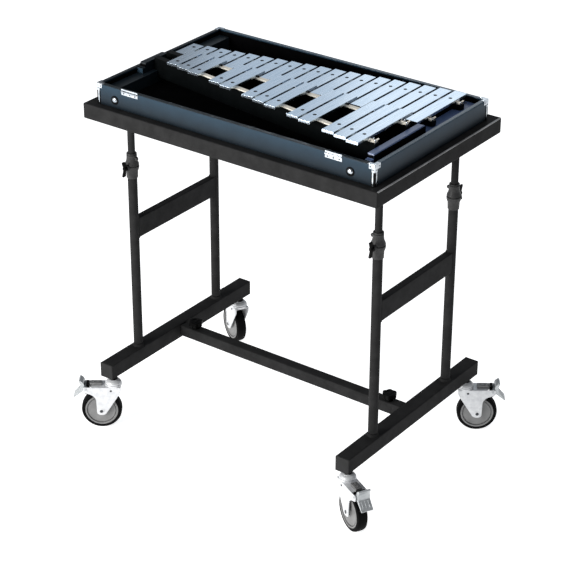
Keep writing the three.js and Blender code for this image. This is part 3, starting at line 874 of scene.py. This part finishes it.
# ---------------------------------------------------------------- height collars and wing screws
def make_collar(corner, x, y, heading, lug_heading):
    place = Matrix.Translation((x, y, 0))
    turned = place @ Matrix.Rotation(math.radians(heading), 4, "Z")
    collar = bmesh.new()
    add_lathe(collar, [
        (12.6, COLLAR_BOTTOM), (13.6, COLLAR_BOTTOM), (14.3, COLLAR_BOTTOM + 1.2),
        (14.2, COLLAR_BOTTOM + 4), (14.8, COLLAR_BOTTOM + 18), (16.8, CLAMP_HEIGHT - 8),
        (17.9, CLAMP_HEIGHT - 4),
        (18, CLAMP_HEIGHT + 0.6), (15.6, CLAMP_HEIGHT + 1.0), (15.6, CLAMP_HEIGHT + 4.2),
        (17.8, CLAMP_HEIGHT + 4.6), (17.2, CLAMP_HEIGHT + 7.4), (14.2, CLAMP_HEIGHT + 14.5),
        (13.2, COLLAR_TOP - 14), (13.0, COLLAR_TOP - 5), (11.2, COLLAR_TOP - 4.8),
        (11.2, COLLAR_TOP - 2.8), (13.0, COLLAR_TOP - 2.4), (12.8, COLLAR_TOP - 0.8),
        (12.0, COLLAR_TOP), (9.7, COLLAR_TOP), (9.7, TUBE_TOP + 0.4), (12.6, TUBE_TOP + 0.4)], place, 56)
    add_lathe(collar, [(3.5, 11.5), (8.6, 11.5), (8.4, 18), (7.6, 21.2), (7.0, 22), (3.5, 22)],
              turned @ facing((0, 0, CLAMP_HEIGHT), (1, 0, 0)), 36)
    lug = turned @ Matrix.Rotation(math.radians(lug_heading), 4, "Z")
    add_soft_box(collar, (10.5, -3.8, COLLAR_TOP - 17), (18.4, 3.8, COLLAR_TOP - 9), 1.3, 3, lug)
    add_lathe(collar, [(0, 10), (3.2, 10), (3.2, 19), (2.4, 20), (0, 20)],
              lug @ facing((0, 0, COLLAR_TOP - 13), (1, 0, 0)), 6)
    mesh_piece(f"collar_{corner}_casting", collar, collar_coat, "base", [f"height_collar_{corner}"])

    wing = bmesh.new()
    outline = [(24, -4)] + arc((30.0, -14.5), 5.5, 200, 250, 3) + arc((33.5, -17.2), 2.7, 250, 380, 6)
    outline += [(33.2, -8), (31.4, -3), (31.0, 0), (31.4, 3), (33.2, 8)]
    outline += arc((33.5, 17.2), 2.7, -20, 110, 6) + arc((30.0, 14.5), 5.5, 110, 160, 3) + [(24, 4)]
    part = bmesh.new()
    add_prism(part, outline, 5.4)
    bmesh.ops.recalc_face_normals(part, faces=part.faces)
    bevel_sharp(part, 1.5, 3, 50)
    pour(part, wing, turned @ Matrix.Translation((0, 0, CLAMP_HEIGHT)))
    add_lathe(wing, [(0, 22.4), (5.6, 22.4), (6.1, 23.2), (6.1, 28.6), (5.2, 30), (3.2, 31.6), (0, 32)],
              turned @ facing((0, 0, CLAMP_HEIGHT), (1, 0, 0)), 32)
    mesh_piece(f"clamp_{corner}_wing", wing, black_plastic, f"clamp_{corner}", [f"clamp_screw_{corner}"])
    stud = bmesh.new()
    add_lathe(stud, [(0, 15.3), (2.4, 15.3), (2.9, 16), (2.9, 23), (0, 23)],
              turned @ facing((0, 0, CLAMP_HEIGHT), (1, 0, 0)), 24)
    mesh_piece(f"clamp_{corner}_stud", stud, bright_zinc, f"clamp_{corner}")


# ---------------------------------------------------------------- casters
def make_caster(corner, x, y, heading):
    place = Matrix.Translation((x, y, 0)) @ Matrix.Rotation(math.radians(heading), 4, "Z")
    fork, wheel, pedal = f"fork_{corner}", f"wheel_{corner}", f"pedal_{corner}"

    zinc = bmesh.new()
    outline = round_corners([
        (-20, 122, 5), (-20, 109, 6), (20.5, 43.5, 9), (27, 40.4, 5), (37, 40.4, 5), (43.4, 44.5, 8),
        (44.6, 88, 9), (54, 99, 8), (77, 107, 5), (77, 121.5, 5)])
    for side in (-1, 1):
        part = bmesh.new()
        add_prism(part, outline, 2.8)
        bmesh.ops.recalc_face_normals(part, faces=part.faces)
        bevel_sharp(part, 0.8, 2, 50)
        pour(part, zinc, place @ Matrix.Translation((0, side * 18.5, 0)))
    add_soft_box(zinc, (-19.5, -19.9, 118.2), (55.5, 19.9, 121.9), 1.7, 3, place)
    add_lathe(zinc, [(0, 120), (20.2, 120), (21, 121.4), (21, 125.2), (20.2, 126.2), (18.6, 126.4),
                     (18.6, 127.4), (20.4, 127.6), (20.9, 128.6), (20.6, 130.4), (17.2, 134.6),
                     (13.5, 136.4), (12.0, 136.6), (12.0, 137.8), (0, 137.8)], place, 56)
    mesh_piece(f"{fork}_cheeks", zinc, bright_zinc, fork, [f"caster_fork_{corner}"])

    arm = bmesh.new()
    add_soft_box(arm, (30, -8.5, 121.5), (58, 8.5, 129), 1.4, 3, place)
    add_soft_box(arm, (34, -5.5, 128.6), (54, 5.5, 130), 0.6, 2, place)
    for spot in (38, 50):
        add_lathe(arm, [(0, 129), (2.6, 129), (2.4, 130.8), (1.4, 131.4), (0, 131.5)],
                  place @ Matrix.Translation((spot, 0, 0)), 20)
    mesh_piece(f"{fork}_lock_arm", arm, arm_steel, fork)

    stem = bmesh.new()
    add_lathe(stem, [(0, 137.5), (9.8, 137.5), (10.9, 138.6), (10.9, 143.0), (9.6, 144.2), (0, 144.2)],
              place, 6)
    add_lathe(stem, [(0, 144), (10.8, 144), (10.9, 145), (10.9, 151.2), (10.4, 151.6), (0, 151.6)],
              place, 40)
    mesh_piece(f"{fork}_stem_nut", stem, black_plastic, fork)

    axle = bmesh.new()
    across = place @ facing((32, 0, 52), (0, 1, 0))
    add_lathe(axle, [(0, -21), (3.9, -21), (3.9, 21), (0, 21)], across, 28)
    washer = bmesh.new()
    add_lathe(washer, [(4, 19.8), (8, 19.8), (8, 20.3), (7.2, 20.7), (4, 20.7)], across, 36)
    add_lathe(washer, [(4, -20.7), (7.2, -20.7), (8, -20.3), (8, -19.8), (4, -19.8)], across, 36)
    mesh_piece(f"{fork}_axle_washers", washer, bright_zinc, fork)
    add_lathe(axle, [(0, 20.4), (4.6, 20.4), (4.6, 21.4), (3.8, 22), (0, 22)], across, 6)
    add_lathe(axle, [(0, -22), (3.8, -22), (4.6, -21.4), (4.6, -20.4), (0, -20.4)], across, 6)
    for end in (-1, 1):
        add_rivet(axle, place @ Vector((6, end * 19.8, 112)),
                  place.to_3x3() @ Vector((0, end, 0)), 3.0)
    mesh_piece(f"{fork}_axle_bolt", axle, dark_steel, fork)

    tyre = bmesh.new()
    add_lathe(tyre, [(42.4, -11), (42.4, -13.0), (43.2, -13.6), (47.2, -13.6), (50.4, -11.6),
                     (51.7, -8), (52, 0), (51.7, 8), (50.4, 11.6), (47.2, 13.6), (43.2, 13.6),
                     (42.4, 13.0), (42.4, 11)], across, 96)
    mesh_piece(f"{wheel}_tyre", tyre, tyre_rubber, wheel, [f"caster_wheel_{corner}"])
    hub = bmesh.new()
    half = [(4.6, 15), (9, 15), (10.6, 14), (12, 11.4), (31, 10.8), (35.4, 11.8), (36.0, 9.0),
            (37.4, 9.0), (38.0, 13.0), (38.8, 13.6), (41.8, 13.4), (42.5, 12.4)]
    add_lathe(hub, half + [(radius, -offset) for radius, offset in reversed(half)], across, 96)
    mesh_piece(f"{wheel}_hub", hub, hub_plastic, wheel)

    lever = bmesh.new()
    flap = round_corners([
        (72, 110, 1), (78, 108.5, 3), (101, 89.5, 0.8), (103, 92, 0.8), (84.5, 113, 4), (83, 127, 4),
        (88, 137, 1), (84, 139.5, 1), (75, 132, 4), (72.5, 118, 2)])
    part = bmesh.new()
    add_prism(part, flap, 31)
    bmesh.ops.recalc_face_normals(part, faces=part.faces)
    bevel_sharp(part, 0.9, 2, 50)
    pour(part, lever, place)
    for offset in (-9, 0, 9):
        add_tube(lever, [(86, offset, 110.4), (98, offset, 97)], 1.1, 10, place)
    add_lathe(lever, [(0, -15.8), (5, -15.8), (5, 15.8), (0, 15.8)],
              place @ facing((70, 0, 116), (0, 1, 0)), 28)
    add_lathe(lever, [(0, -20.9), (2.9, -20.9), (2.9, 20.9), (0, 20.9)],
              place @ facing((70, 0, 116), (0, 1, 0)), 24)
    mesh_piece(f"{pedal}_plate", lever, pedal_steel, pedal, [f"brake_pedal_{corner}"])
    shoe = bmesh.new()
    add_soft_box(shoe, (63.2, -10.8, 96.8), (73, 10.8, 113), 1.6, 3, place)
    add_soft_box(shoe, (66, -13.5, 108), (77.5, 13.5, 114), 1.6, 3, place)
    add_soft_box(shoe, (63.5, -11, 112), (69.5, 11, 128), 1.4, 3, place)
    mesh_piece(f"{pedal}_shoe", shoe, black_plastic, pedal)


for corner, (side_x, side_y), caster_heading, clamp_heading in (
        ("front_left", (-1, -1), 216, -90), ("front_right", (1, -1), -28, -90),
        ("rear_left", (-1, 1), 152, 90), ("rear_right", (1, 1), 36, 90)):
    make_collar(corner, side_x * POST_X, side_y * POST_Y, clamp_heading, side_x * side_y * 90)
    make_caster(corner, side_x * POST_X, side_y * CASTER_Y, caster_heading)

# ---------------------------------------------------------------- floor
floor = bmesh.new()
add_box(floor, (-FLOOR_HALF, -FLOOR_HALF, -20), (FLOOR_HALF, FLOOR_HALF, -0.5))
mesh_piece("floor", floor, floor_paint, None)
